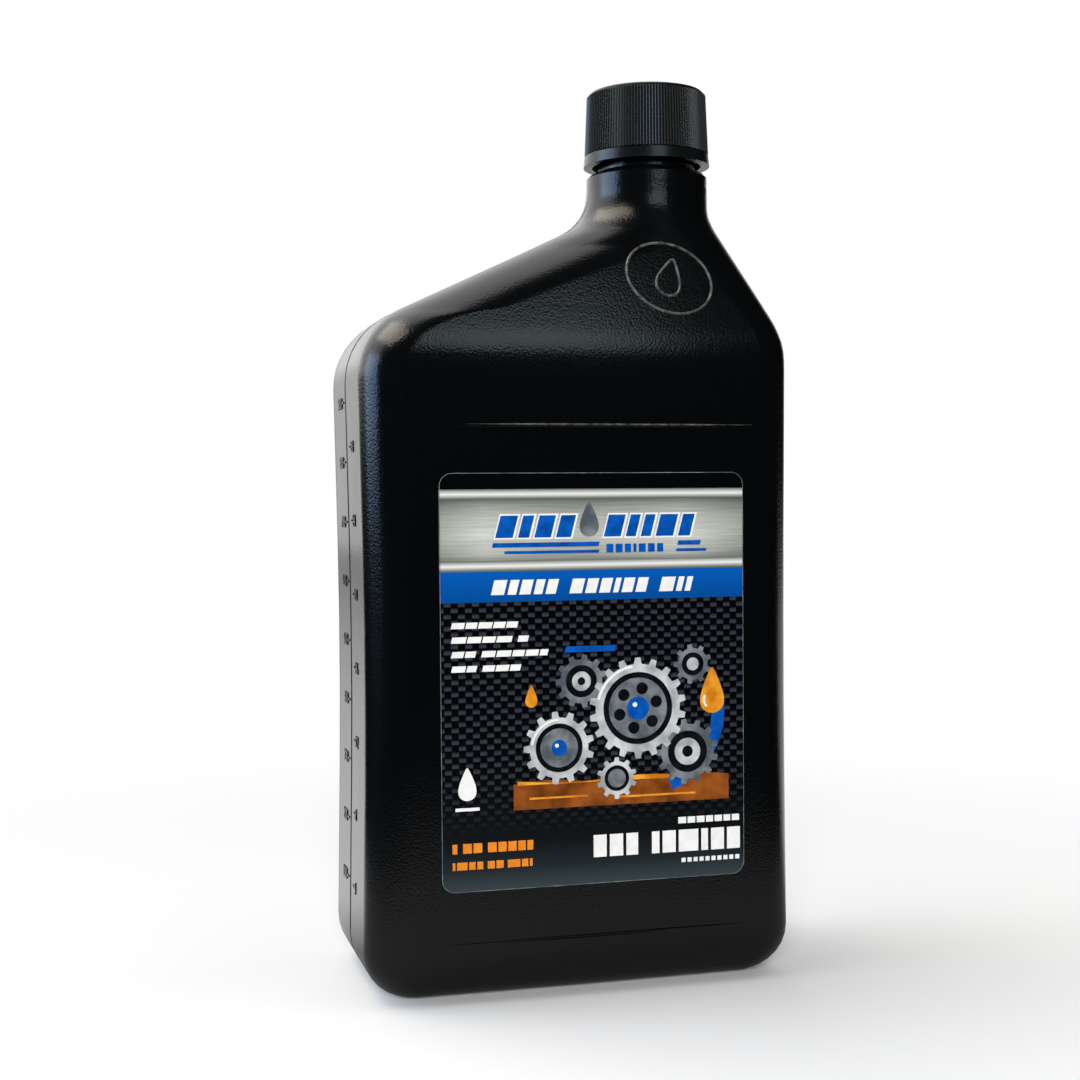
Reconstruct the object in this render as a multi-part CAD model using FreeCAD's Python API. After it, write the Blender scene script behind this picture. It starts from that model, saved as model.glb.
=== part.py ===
import FreeCAD, Part
import math
import os

# A one-quart oil bottle with an offset neck, a screw cap and a tamper ring.
# Millimetres. It stands on z = 0, its front faces -Y and its neck is towards +X.

# Body of the bottle
BODY_WIDTH = 111.0
BODY_DEPTH = 60.2
WALL = 1.0
INSIDE_NECK_STEP = 0.3
CORNER_R = 10.3
BASE_R = 12.8
WAIST_LEFT = 1.1
WAIST_RIGHT = 0.5
WAIST_Z = 84.5
FACE_CROWN = 0.7
CROWN_RUN = 4.0

# Shoulders: the heights where two flat sides would meet, their angles from the
# horizontal in degrees, and the radii that round the bend and run into the neck
SIDE_KNEE_Z = 164.8
FACE_KNEE_Z = 160.4
LEFT_ANGLE = 25.3
RIGHT_ANGLE = 66.0
FACE_ANGLE = 70.0
LEFT_KNEE_R = 19.6
RIGHT_KNEE_R = 24.6
FACE_KNEE_R = 24.6
LEFT_BLEND_R = 13.8
RIGHT_BLEND_R = 16.2
FACE_BLEND_R = 11.8

# Flat label panels on the front and back, and the pushed-up base
PANEL_LOW = 15.5
PANEL_HIGH = 140.8
PANEL_DEPTH = 0.64
BASE_RIM = 4.0
BASE_PUSH_UP = 2.0
BASE_PUSH_TAPER = 2.5
BASE_PUSH_CORNER = 6.0

# Neck and its finish: how far its axis is from the body's right side, then its
# collar, bead, thread and mouth, each height counted from the one below it
NECK_FROM_SIDE = 29.9
COLLAR_R = 15.9
COLLAR_H = 3.94
COLLAR_EDGE = 0.9
BORE_R = 11.0
THREAD_ROOT_R = 12.9
THREAD_DEPTH = 1.1
THREAD_PITCH = 4.233
THREAD_TURNS = 1.5
THREAD_BASE_W = 2.2
THREAD_CREST_W = 1.0
THREAD_SUNK = 0.3
THREAD_START = 3.7
CAP_THREAD_TURNS = 1.0
BEAD_R = 15.05
BEAD_H = 1.3
BEAD_RISE = 3.6
FINISH_H = 15.7
LIP_R = 0.5

# Cap, tamper ring and sealing disc
CAP_LOW_R = 16.35
CAP_HIGH_R = 15.7
CAP_TOP_T = 1.4
CAP_EDGE_R = 1.0
RIB_DEPTH = 0.35
RIB_COUNT = 128
RIB_STEP = 0.05
BAND_H = 2.75
BAND_FLARE = 0.3
BAND_LIP = 1.0
BAND_LIP_CATCH = 0.7
BRIDGE_COUNT = 12
BRIDGE_W = 0.9
BRIDGE_T = 0.6
BRIDGE_SUNK = 0.2
LINER_T = 1.0

# Label
LABEL_W = 78.0
LABEL_H = 101.5
LABEL_T = 0.12
LABEL_CORNER = 3.2
LABEL_X = 1.3
LABEL_LOW = 28.1

# Running gaps
THREAD_GAP = 0.3
THREAD_LASH = 0.25
BEAD_GAP = 0.3
SPLIT_GAP = 0.3
BRIDGE_GAP = 0.05
LINER_GAP = 0.3

# Worked out from the values above: the left side's slope, the heights at which its
# knee starts and its blend ends, and from there up the neck to the cap's top
HALF_W = BODY_WIDTH / 2
HALF_D = BODY_DEPTH / 2
NECK_X = HALF_W - NECK_FROM_SIDE
FACE_Y = HALF_D + FACE_CROWN - PANEL_DEPTH
LEFT_SLOPE = math.radians(LEFT_ANGLE)
LEFT_TURN = math.tan((math.pi / 2 - LEFT_SLOPE) / 2)
LEFT_RISE = (HALF_W + NECK_X - COLLAR_R) * math.tan(LEFT_SLOPE)
SHOULDER_LOW = SIDE_KNEE_Z - LEFT_KNEE_R * LEFT_TURN
SHOULDER_TOP = SIDE_KNEE_Z + LEFT_RISE + LEFT_BLEND_R * LEFT_TURN
COLLAR_TOP = SHOULDER_TOP + COLLAR_H
BEAD_Z = COLLAR_TOP + BEAD_RISE
MOUTH_Z = BEAD_Z + FINISH_H
THREAD_R = THREAD_ROOT_R + THREAD_DEPTH
BAND_LOW = BEAD_Z - BEAD_GAP - BAND_LIP
BAND_HIGH = BAND_LOW + BAND_H
CAP_LOW = BAND_HIGH + SPLIT_GAP
CAP_BORE_R = THREAD_R + THREAD_GAP
LINER_HIGH = MOUTH_Z + LINER_T
CAP_HIGH = LINER_HIGH + CAP_TOP_T
NECK_AXIS = FreeCAD.Vector(0, 0, 1)

# Steps round each bend of the bottle's outside and of its inside, the least flat
# that is left at the neck, how far two corner rules run into each other, and how
# much of the base's inset its plan corners lose
OUTER_STEPS = 8
INNER_STEPS = 5
LEAST_FLAT = 0.2
CORNER_EASE = 0.4
BASE_CORNER_SHARE = 0.6
LEAST_CORNER_R = 1.0

# How far a Bezier curve's handle reaches to its corner for a quarter round, and
# how far a cutting body runs past what it cuts
QUARTER_PULL = 0.5523
CUT_PAST = 1.0


def vec(x, y, z):
    return FreeCAD.Vector(x, y, z)


# One side of an outline: upright, a rounded knee, a slope, a rounded blend and
# upright again at the neck. Gives the half width at a height, and the sine of
# the outline's angle from the horizontal.
def outline(z, half, neck, knee_z, angle, knee_r, blend_r, inset):
    slope = math.radians(angle)
    turn = math.tan((math.pi / 2 - slope) / 2)
    knee_low = knee_z - knee_r * turn
    knee_high = knee_low + (knee_r - inset) * math.cos(slope)
    meet_z = knee_z - inset * turn + (half - neck) * math.tan(slope)
    blend_high = meet_z + (blend_r + inset) * turn
    blend_low = blend_high - (blend_r + inset) * math.cos(slope)
    inner_knee = knee_r - inset
    outer_blend = blend_r + inset
    if z <= knee_low:
        return half - inset, 1.0
    if z < knee_high:
        reach = math.sqrt(inner_knee ** 2 - (z - knee_low) ** 2)
        return half - knee_r + reach, reach / inner_knee
    if z < blend_low:
        run = (z - knee_z + inset * turn) / math.tan(slope)
        return half - inset - run, math.sin(slope)
    if z < blend_high:
        reach = math.sqrt(outer_blend ** 2 - (blend_high - z) ** 2)
        return neck + blend_r - reach, reach / outer_blend
    return neck - inset, 1.0


def left_side(z, inset):
    return outline(z, HALF_W, COLLAR_R - NECK_X, SIDE_KNEE_Z, LEFT_ANGLE,
                   LEFT_KNEE_R, LEFT_BLEND_R, inset)


def right_side(z, inset):
    return outline(z, HALF_W, COLLAR_R + NECK_X, SIDE_KNEE_Z, RIGHT_ANGLE,
                   RIGHT_KNEE_R, RIGHT_BLEND_R, inset)


def face_side(z, inset):
    return outline(z, HALF_D, COLLAR_R, FACE_KNEE_Z, FACE_ANGLE,
                   FACE_KNEE_R, FACE_BLEND_R, inset)


def base_inset(z, inset):
    radius = BASE_R - inset
    if z >= BASE_R:
        return 0.0
    return radius - math.sqrt(max(radius ** 2 - (BASE_R - z) ** 2, 0.0))


def waist(z):
    share = (z - WAIST_Z) / WAIST_Z
    return max(1 - share ** 2, 0.0) ** 2


# The plan corner grows from the body's corner to the round neck
def corner_radius(z, inset):
    share = min(max((z - FACE_KNEE_Z) / (SHOULDER_TOP - FACE_KNEE_Z), 0.0), 1.0)
    ease = share * share * (3 - 2 * share)
    return CORNER_R + (COLLAR_R - CORNER_R) * ease - inset


# The smaller of two lengths, rounded where they cross
def soft_least(a, b, spread):
    share = min(max(0.5 + 0.5 * (b - a) / spread, 0.0), 1.0)
    return b * (1 - share) + a * share - spread * share * (1 - share)


def bezier(points):
    curve = Part.BezierCurve()
    curve.setPoles(points)
    return curve.toShape()


# A quarter of an ellipse from one tangent point to the next, round a corner
def round_corner(start, corner, end):
    return [bezier([start, start + (corner - start) * QUARTER_PULL,
                    end + (corner - end) * QUARTER_PULL, end])]


# The same corner as two flats, for the rougher inside of the blown wall
def flat_corner(start, corner, end):
    middle = corner + (start + end - corner * 2) * (1 - math.sqrt(0.5))
    return [Part.makeLine(start, middle), Part.makeLine(middle, end)]


# A face's edge swells by an even crown that dies out at its two ends
def face_edge(start, end, swell):
    if swell.Length < 1e-6:
        return [Part.makeLine(start, end)]
    middle = (start + end) * 0.5 + swell * (8.0 / 3.0)
    return [bezier([start, start * 0.75 + end * 0.25, middle, start * 0.25 + end * 0.75, end])]


# The crown is full beside the label panels and gone where the faces bend back
def crown_height(z, sunk):
    share = min(max((FACE_KNEE_Z - z) / (FACE_KNEE_Z - PANEL_HIGH - CROWN_RUN), 0.0), 1.0)
    return FACE_CROWN * share * share * (3 - 2 * share) * (1 - sunk / BASE_R)


# One level cut through the bottle's skin
def section(z, inset):
    left, left_sine = left_side(z, inset)
    right, right_sine = right_side(z, inset)
    deep, face_sine = face_side(z, inset)
    sunk = base_inset(z, inset)
    left -= sunk + WAIST_LEFT * waist(z)
    right -= sunk + WAIST_RIGHT * waist(z)
    deep -= sunk
    radius = max(corner_radius(z, inset) - BASE_CORNER_SHARE * sunk, LEAST_CORNER_R)
    rx_left = soft_least(radius / left_sine, left + NECK_X - LEAST_FLAT, CORNER_EASE)
    rx_right = soft_least(radius / right_sine, right - NECK_X - LEAST_FLAT, CORNER_EASE)
    ry = soft_least(radius / face_sine, deep - LEAST_FLAT, CORNER_EASE)
    corner = flat_corner if inset else round_corner
    swell = vec(0, 0 if inset else crown_height(z, sunk), 0)
    front_left = vec(rx_left - left, -deep, z)
    front_right = vec(right - rx_right, -deep, z)
    right_front = vec(right, ry - deep, z)
    right_back = vec(right, deep - ry, z)
    back_right = vec(right - rx_right, deep, z)
    back_left = vec(rx_left - left, deep, z)
    left_back = vec(-left, deep - ry, z)
    left_front = vec(-left, ry - deep, z)
    edges = face_edge(front_left, front_right, swell * -1)
    edges += corner(front_right, vec(right, -deep, z), right_front)
    edges.append(Part.makeLine(right_front, right_back))
    edges += corner(right_back, vec(right, deep, z), back_right)
    edges += face_edge(back_right, back_left, swell)
    edges += corner(back_left, vec(-left, deep, z), left_back)
    edges.append(Part.makeLine(left_back, left_front))
    edges += corner(left_front, vec(-left, -deep, z), front_left)
    return Part.Wire(edges)


def even_heights(low, high, steps):
    return [low + (high - low) * step / steps for step in range(steps + 1)]


# Round the base the levels follow equal angles of the base radius
def base_heights(inset, steps):
    radius = BASE_R - inset
    angles = even_heights(0, math.pi / 2, steps)
    return [BASE_R - radius * math.cos(angle) for angle in angles]


# Over the shoulders they follow equal angles of the left side's knee and blend
def shoulder_heights(low, top, bend_steps):
    angles = even_heights(0, math.pi / 2 - LEFT_SLOPE, bend_steps)
    knee = [low + LEFT_KNEE_R * math.sin(angle) for angle in angles]
    blend = [top - LEFT_BLEND_R * math.sin(angle) for angle in reversed(angles)]
    slope = even_heights(knee[-1], blend[0], max(bend_steps // 2, 1))
    return knee + slope[1:-1] + blend


# The skin is lofted level by level: round base, waisted body, shoulders
def skin(inset, top, bend_steps):
    heights = base_heights(inset, bend_steps)[:-1]
    heights += even_heights(BASE_R, SHOULDER_LOW, bend_steps - 1)[:-1]
    heights += shoulder_heights(SHOULDER_LOW, top, bend_steps)
    return Part.makeLoft([section(z, inset) for z in heights], True, True)


def turned(points):
    wire = Part.makePolygon([vec(r, 0, z) for r, z in points + points[:1]])
    solid = Part.Face(wire).revolve(vec(0, 0, 0), NECK_AXIS, 360)
    solid.translate(vec(NECK_X, 0, 0))
    return solid


# What the flat label panels take off the crowned front and back
def panel_cuts():
    reach = FACE_CROWN + CUT_PAST
    side = 2 * BODY_WIDTH
    profile = [
        vec(-side / 2, -FACE_Y, PANEL_LOW),
        vec(-side / 2, -FACE_Y, PANEL_HIGH),
        vec(-side / 2, -FACE_Y - reach, PANEL_HIGH + reach),
        vec(-side / 2, -FACE_Y - reach, PANEL_LOW - reach),
    ]
    front = Part.Face(Part.makePolygon(profile + profile[:1])).extrude(vec(side, 0, 0))
    back = front.mirror(vec(0, 0, 0), vec(0, 1, 0))
    return [front, back]


def rounded_rectangle(half_x, half_y, radius, z):
    points = [vec(half_x - radius, -half_y, z), vec(half_x, radius - half_y, z),
              vec(half_x, half_y - radius, z), vec(half_x - radius, half_y, z),
              vec(radius - half_x, half_y, z), vec(-half_x, half_y - radius, z),
              vec(-half_x, radius - half_y, z), vec(radius - half_x, -half_y, z)]
    corners = [vec(half_x, -half_y, z), vec(half_x, half_y, z),
               vec(-half_x, half_y, z), vec(-half_x, -half_y, z)]
    edges = []
    for index in range(4):
        start = points[2 * index]
        end = points[2 * index + 1]
        centre = start + end - corners[index]
        middle = centre + (corners[index] - centre) * math.sqrt(0.5)
        edges.append(Part.Arc(start, middle, end).toShape())
        edges.append(Part.makeLine(end, points[(2 * index + 2) % 8]))
    return Part.Wire(edges)


# The base is pushed up inside its rim, so the bottle stands on the rim alone
def base_push_up(grow):
    half_x = HALF_W - BASE_R - BASE_RIM + grow
    half_y = HALF_D - BASE_R - BASE_RIM + grow
    low = rounded_rectangle(half_x, half_y, BASE_PUSH_CORNER + grow, 0)
    high = rounded_rectangle(half_x - BASE_PUSH_TAPER, half_y - BASE_PUSH_TAPER,
                             BASE_PUSH_CORNER - BASE_PUSH_TAPER + grow, BASE_PUSH_UP + grow)
    return Part.makeLoft([low, high], True, True)


def thread_ridge(radius, outward, z, turns):
    helix = Part.makeHelix(THREAD_PITCH, THREAD_PITCH * turns, radius)
    root = radius - outward * THREAD_SUNK
    crest = radius + outward * THREAD_DEPTH
    wide = THREAD_BASE_W / 2
    thin = THREAD_CREST_W / 2
    profile = Part.makePolygon([vec(root, 0, -wide), vec(root, 0, wide), vec(crest, 0, thin),
                                vec(crest, 0, -thin), vec(root, 0, -wide)])
    ridge = Part.Wire(helix).makePipeShell([profile], True, True)
    ridge.translate(vec(NECK_X, 0, z))
    return ridge


def neck_outside(low):
    return turned([
        (0, low),
        (COLLAR_R, low),
        (COLLAR_R, COLLAR_TOP - COLLAR_EDGE),
        (COLLAR_R - COLLAR_EDGE, COLLAR_TOP),
        (THREAD_ROOT_R, COLLAR_TOP + COLLAR_EDGE),
        (THREAD_ROOT_R, BEAD_Z),
        (BEAD_R, BEAD_Z),
        (THREAD_R, BEAD_Z + BEAD_H),
        (THREAD_ROOT_R, BEAD_Z + BEAD_H),
        (THREAD_ROOT_R, MOUTH_Z - LIP_R),
        (THREAD_ROOT_R - LIP_R, MOUTH_Z),
        (0, MOUTH_Z),
    ])


def neck_bore(low):
    throat = COLLAR_R - WALL - INSIDE_NECK_STEP
    return turned([
        (0, low - INSIDE_NECK_STEP),
        (throat, low - INSIDE_NECK_STEP),
        (throat, low),
        (BORE_R, low + throat - BORE_R),
        (BORE_R, MOUTH_Z + CUT_PAST),
        (0, MOUTH_Z + CUT_PAST),
    ])


def make_bottle():
    outside = skin(0, SHOULDER_TOP, OUTER_STEPS).cut(panel_cuts() + [base_push_up(0)])
    outside = outside.fuse(neck_outside(SHOULDER_TOP))
    outside = outside.fuse(thread_ridge(THREAD_ROOT_R, 1, BEAD_Z + BEAD_H + THREAD_START, THREAD_TURNS))
    inside = skin(WALL, SHOULDER_TOP - WALL, INNER_STEPS).cut(base_push_up(WALL))
    inside = inside.fuse(neck_bore(SHOULDER_TOP - WALL))
    print("inside volume in litres: %.3f" % (inside.Volume / 1e6))
    return outside.cut(inside)


def rib_wire(radius, z):
    points = []
    for index in range(2 * RIB_COUNT):
        angle = math.pi * index / RIB_COUNT
        reach = radius if index % 2 else radius - RIB_DEPTH
        points.append(vec(reach * math.cos(angle), reach * math.sin(angle), z))
    return Part.makePolygon(points + points[:1])


def make_cap():
    rib_high = CAP_HIGH - CAP_EDGE_R
    ribs = Part.makeLoft([rib_wire(CAP_LOW_R, CAP_LOW), rib_wire(CAP_HIGH_R, rib_high)], True, True)
    ribs.translate(vec(NECK_X, 0, 0))
    lid_r = CAP_HIGH_R - RIB_DEPTH - RIB_STEP
    edge = [(lid_r - CAP_EDGE_R * (1 - math.cos(angle)), rib_high + CAP_EDGE_R * math.sin(angle))
            for angle in even_heights(0, math.pi / 2, 3)]
    lid = turned([(0, rib_high)] + edge + [(0, CAP_HIGH)])
    outside = ribs.fuse(lid)
    bore = Part.makeCylinder(CAP_BORE_R, LINER_HIGH - CAP_LOW, vec(NECK_X, 0, CAP_LOW))
    shell = outside.cut(bore)
    neck_z = BEAD_Z + BEAD_H + THREAD_START
    flank = (THREAD_BASE_W + THREAD_CREST_W) / 2 + THREAD_LASH
    ridge = thread_ridge(CAP_BORE_R, -1, neck_z - flank, CAP_THREAD_TURNS)
    return shell.fuse(ridge)


def make_tamper_band():
    inner = BEAD_R + BEAD_GAP
    ring = turned([
        (BEAD_R - BAND_LIP_CATCH, BAND_LOW),
        (CAP_LOW_R + BAND_FLARE, BAND_LOW),
        (CAP_LOW_R, BAND_HIGH),
        (inner, BAND_HIGH),
        (inner, BAND_LOW + BAND_LIP),
    ])
    bridges = []
    for index in range(BRIDGE_COUNT):
        stub = Part.makeBox(BRIDGE_T, BRIDGE_W, SPLIT_GAP - BRIDGE_GAP + BRIDGE_SUNK)
        stub.translate(vec(inner + BRIDGE_SUNK / 2, -BRIDGE_W / 2, BAND_HIGH - BRIDGE_SUNK))
        stub.rotate(vec(0, 0, 0), NECK_AXIS, 360 * (index + 0.5) / BRIDGE_COUNT)
        stub.translate(vec(NECK_X, 0, 0))
        bridges.append(stub)
    return ring.fuse(bridges)


def make_cap_liner():
    return Part.makeCylinder(CAP_BORE_R - LINER_GAP, LINER_T, vec(NECK_X, 0, MOUTH_Z))


def make_front_label():
    flat = rounded_rectangle(LABEL_W / 2, LABEL_H / 2, LABEL_CORNER, 0)
    label = Part.Face(flat).extrude(vec(0, 0, LABEL_T))
    label.rotate(vec(0, 0, 0), vec(1, 0, 0), 90)
    label.translate(vec(LABEL_X, -FACE_Y, LABEL_LOW + LABEL_H / 2))
    return label


def write(node, shape):
    clean = shape.removeSplitter()
    print("%-12s solids %d valid %s volume %.0f" % (node, len(clean.Solids), clean.isValid(), clean.Volume))
    clean.exportStep("parts/%s.step" % node)


os.makedirs("parts", exist_ok=True)
write("bottle", make_bottle())
write("cap", make_cap())
write("tamper_band", make_tamper_band())
write("cap_liner", make_cap_liner())
write("front_label", make_front_label())
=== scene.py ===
# %% [markdown]
# # A one-quart motor oil bottle
#
# The object is a flat-fronted bottle, blow moulded in black high-density polyethylene. Its neck
# stands to one side, under a ribbed screw cap with a tamper ring, and a printed film label sits
# in the sunk panel on its front. The solid pieces come in from the CAD frame. What is added here
# is what a mould maker, a printer and a photographer would add: the grain of the mould, the
# parting line, the raised scale, the print and the light.

# %% The CAD frame
import math

import bpy
from mathutils import Matrix, Vector
from mathutils.bvhtree import BVHTree


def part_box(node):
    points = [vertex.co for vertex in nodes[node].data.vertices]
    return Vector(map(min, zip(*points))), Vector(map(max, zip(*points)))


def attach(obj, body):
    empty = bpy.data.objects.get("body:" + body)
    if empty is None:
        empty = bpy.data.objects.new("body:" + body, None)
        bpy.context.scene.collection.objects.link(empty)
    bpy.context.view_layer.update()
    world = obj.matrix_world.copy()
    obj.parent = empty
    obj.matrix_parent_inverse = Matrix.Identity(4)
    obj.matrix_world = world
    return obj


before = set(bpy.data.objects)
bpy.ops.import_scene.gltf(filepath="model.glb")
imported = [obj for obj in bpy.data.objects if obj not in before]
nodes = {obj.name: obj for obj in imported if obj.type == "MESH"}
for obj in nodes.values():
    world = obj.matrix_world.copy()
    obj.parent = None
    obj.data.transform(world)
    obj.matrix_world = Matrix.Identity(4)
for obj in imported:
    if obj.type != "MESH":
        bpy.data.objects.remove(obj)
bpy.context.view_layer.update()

MM = 0.001
print("pieces in the frame:", sorted(nodes))

# %% [markdown]
# ## The camera first
#
# Everything that is matched to a photograph is matched through its camera, so the camera comes
# before any material. The place, turn and focal length below come from laying the bottle's
# outline over the photographed one. A camera looks along its own -Z with +Y up, so the matrix is
# put together from three directions: right, up and back.

# %% Camera
CAMERA_PLACE = Vector((-121.06, -428.06, 124.82)) * MM
CAMERA_YAW = 0.2662
CAMERA_PITCH = -0.0282
CAMERA_ROLL = 0.0070
FOCAL_IN_PIXELS = 1691.7
IMAGE_WIDTH = 1080
SENSOR_MM = 36.0

ahead = Vector((math.sin(CAMERA_YAW) * math.cos(CAMERA_PITCH),
                math.cos(CAMERA_YAW) * math.cos(CAMERA_PITCH),
                math.sin(CAMERA_PITCH)))
level_right = Vector((math.cos(CAMERA_YAW), -math.sin(CAMERA_YAW), 0.0))
level_down = ahead.cross(level_right)
right = level_right * math.cos(CAMERA_ROLL) + level_down * math.sin(CAMERA_ROLL)
down = level_down * math.cos(CAMERA_ROLL) - level_right * math.sin(CAMERA_ROLL)

camera_data = bpy.data.cameras.new("photo_camera")
camera_data.sensor_width = SENSOR_MM
camera_data.lens = FOCAL_IN_PIXELS / IMAGE_WIDTH * SENSOR_MM
camera_data.clip_start = 0.01
camera = bpy.data.objects.new("photo_camera", camera_data)
camera.matrix_world = Matrix((
    (right.x, -down.x, -ahead.x, CAMERA_PLACE.x),
    (right.y, -down.y, -ahead.y, CAMERA_PLACE.y),
    (right.z, -down.z, -ahead.z, CAMERA_PLACE.z),
    (0.0, 0.0, 0.0, 1.0),
))
bpy.context.scene.collection.objects.link(camera)
bpy.context.scene.camera = camera
print("lens in mm: %.1f" % camera_data.lens)

# %% [markdown]
# ## Two helpers for materials
#
# Colours are easiest to pick and to read as sRGB hex codes, but a shader works in linear light,
# so one function turns the first into the second. A node tree is mostly "add this node, set
# these inputs, join those sockets", so one more function does all three in a line. Where the
# node is a colour ramp, it sets the ramp's stops too, given from low to high.

# %% Colour and node helpers
def linear(hex_code, alpha=1.0):
    channels = [int(hex_code[i:i + 2], 16) / 255 for i in (1, 3, 5)]
    return tuple(c / 12.92 if c <= 0.04045 else ((c + 0.055) / 1.055) ** 2.4 for c in channels) + (alpha,)


def add(tree, kind, inputs=None, stops=(), **settings):
    made = tree.nodes.new(kind)
    for name, value in settings.items():
        setattr(made, name, value)
    for key, value in (inputs or {}).items():
        if isinstance(value, bpy.types.NodeSocket):
            tree.links.new(value, made.inputs[key])
        else:
            made.inputs[key].default_value = value
    for index, (position, colour) in enumerate(stops):
        elements = made.color_ramp.elements
        element = elements[index] if index < len(elements) else elements.new(position)
        element.position = position
        element.color = linear(colour)
    return made


def new_material(name):
    material = bpy.data.materials.new(name)
    material.use_nodes = True
    material.node_tree.nodes.clear()
    return material, material.node_tree


def finish_material(tree, shader):
    add(tree, "ShaderNodeOutputMaterial", {"Surface": shader.outputs[0]})


# %% [markdown]
# ## Black polyethylene from a grained mould
#
# The bottle is high-density polyethylene with carbon black. Blown polyethylene is waxy rather
# than glassy: a refractive index near 1.54, and smooth without being a mirror. The front, the back
# and the corners of the mould are etched with a fine leather grain. A smooth strip is left along
# the parting line, wide on the body's narrow sides and narrower on the neck, so those sides mirror
# the pale room at a low angle. The strip is a mask worked out from the place on the bottle.

# %% The smooth strip
STRIP_HALF_MM = (19.6, 7.0)
STRIP_TAPER_MM = (150.0, 174.0)
STRIP_EDGE_MM = 1.0
STRIP_STEP_MM = 0.05


def grained_part(tree, place):
    apart = add(tree, "ShaderNodeSeparateXYZ", {"Vector": place.outputs["Object"]})
    off_line = add(tree, "ShaderNodeMath", {0: apart.outputs["Y"]}, operation="ABSOLUTE")
    strip = add(tree, "ShaderNodeMapRange",
                {"Value": apart.outputs["Z"], "From Min": STRIP_TAPER_MM[0] * MM,
                 "From Max": STRIP_TAPER_MM[1] * MM, "To Min": STRIP_HALF_MM[0] * MM,
                 "To Max": STRIP_HALF_MM[1] * MM}, interpolation_type="SMOOTHSTEP")
    beyond = add(tree, "ShaderNodeMath", {0: off_line.outputs[0], 1: strip.outputs[0]}, operation="SUBTRACT")
    return add(tree, "ShaderNodeMapRange",
               {"Value": beyond.outputs[0], "From Min": -STRIP_EDGE_MM * MM, "From Max": 0.0},
               interpolation_type="SMOOTHSTEP")


# %% [markdown]
# The grain is far too fine to model, so it is bump. A smooth cell pattern gives it, and noise
# pushes the cells about a little, so that no two are alike, as in leather.

# %% The leather grain
GRAIN_CELL_MM = 0.58
GRAIN_DEPTH_MM = 0.034
DRIFT_PER_CELL = 0.6
DRIFT_REACH = 0.4


def leather_grain(tree, place):
    drift = add(tree, "ShaderNodeTexNoise", {"Vector": place.outputs["Object"], "Detail": 2.0,
                                             "Scale": DRIFT_PER_CELL / (GRAIN_CELL_MM * MM)})
    shifted = add(tree, "ShaderNodeVectorMath",
                  {0: drift.outputs["Color"], "Scale": DRIFT_REACH * GRAIN_CELL_MM * MM}, operation="SCALE")
    moved = add(tree, "ShaderNodeVectorMath",
                {0: place.outputs["Object"], 1: shifted.outputs[0]}, operation="ADD")
    return add(tree, "ShaderNodeTexVoronoi",
               {"Vector": moved.outputs[0], "Scale": 1.0 / (GRAIN_CELL_MM * MM), "Smoothness": 0.5},
               feature="SMOOTH_F1")


# %% [markdown]
# The material joins them. Three bumps lie on each other: the slow waves that a cooling wall takes,
# the low step where the etched part begins, and the grain itself. The grained part is also a
# little rougher.

# %% Bottle material
WAVE_SIZE_MM = 28.0
WAVE_DEPTH_MM = 0.15


def make_bottle_plastic():
    material, tree = new_material("blow_moulded_hdpe")
    place = add(tree, "ShaderNodeTexCoord")
    grained = grained_part(tree, place)
    cells = leather_grain(tree, place)
    grain = add(tree, "ShaderNodeMath", {0: cells.outputs["Distance"], 1: grained.outputs[0]},
                operation="MULTIPLY")
    waves = add(tree, "ShaderNodeTexNoise",
                {"Vector": place.outputs["Object"], "Scale": 1.0 / (WAVE_SIZE_MM * MM), "Detail": 1.0})
    wavy = add(tree, "ShaderNodeBump",
               {"Height": waves.outputs["Fac"], "Strength": 1.0, "Distance": WAVE_DEPTH_MM * MM})
    stepped = add(tree, "ShaderNodeBump",
                  {"Height": grained.outputs[0], "Strength": 1.0, "Distance": STRIP_STEP_MM * MM,
                   "Normal": wavy.outputs[0]})
    bumped = add(tree, "ShaderNodeBump",
                 {"Height": grain.outputs[0], "Strength": 1.0, "Distance": GRAIN_DEPTH_MM * MM,
                  "Normal": stepped.outputs[0]}, invert=True)
    rough = add(tree, "ShaderNodeMapRange",
                {"Value": grained.outputs[0], "To Min": 0.16, "To Max": 0.19})
    surface = add(tree, "ShaderNodeBsdfPrincipled",
                  {"Base Color": linear("#050607"), "Roughness": rough.outputs[0], "IOR": 1.54,
                   "Normal": bumped.outputs[0]})
    finish_material(tree, surface)
    return material


bottle_plastic = make_bottle_plastic()
print("bottle material has", len(bottle_plastic.node_tree.nodes), "nodes")

# %% [markdown]
# ## The cap and its ring
#
# Cap and tamper ring come out of one injection mould, in polypropylene with carbon black. The
# tool is only lightly polished, so the surface is more matte than the bottle and has a faint
# unevenness, which is a small noise in the roughness and in the bump. The ribs are real geometry,
# and their crests get a painted highlight, a paler colour that is a wave in the angle round
# the cap's axis, as many periods as there are ribs, kept to the heights where the ribs are.

# %% The painted highlight on the rib crests
RIB_COUNT = 128
RIB_TOP_MM = 1.0
CREST_STARTS_AT = 0.4
cap_low, cap_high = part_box("cap")
CAP_AXIS_X = (cap_low[0] + cap_high[0]) / 2


# Gives where the painted highlight lies: on the rib crests, within the ribbed heights.
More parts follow.
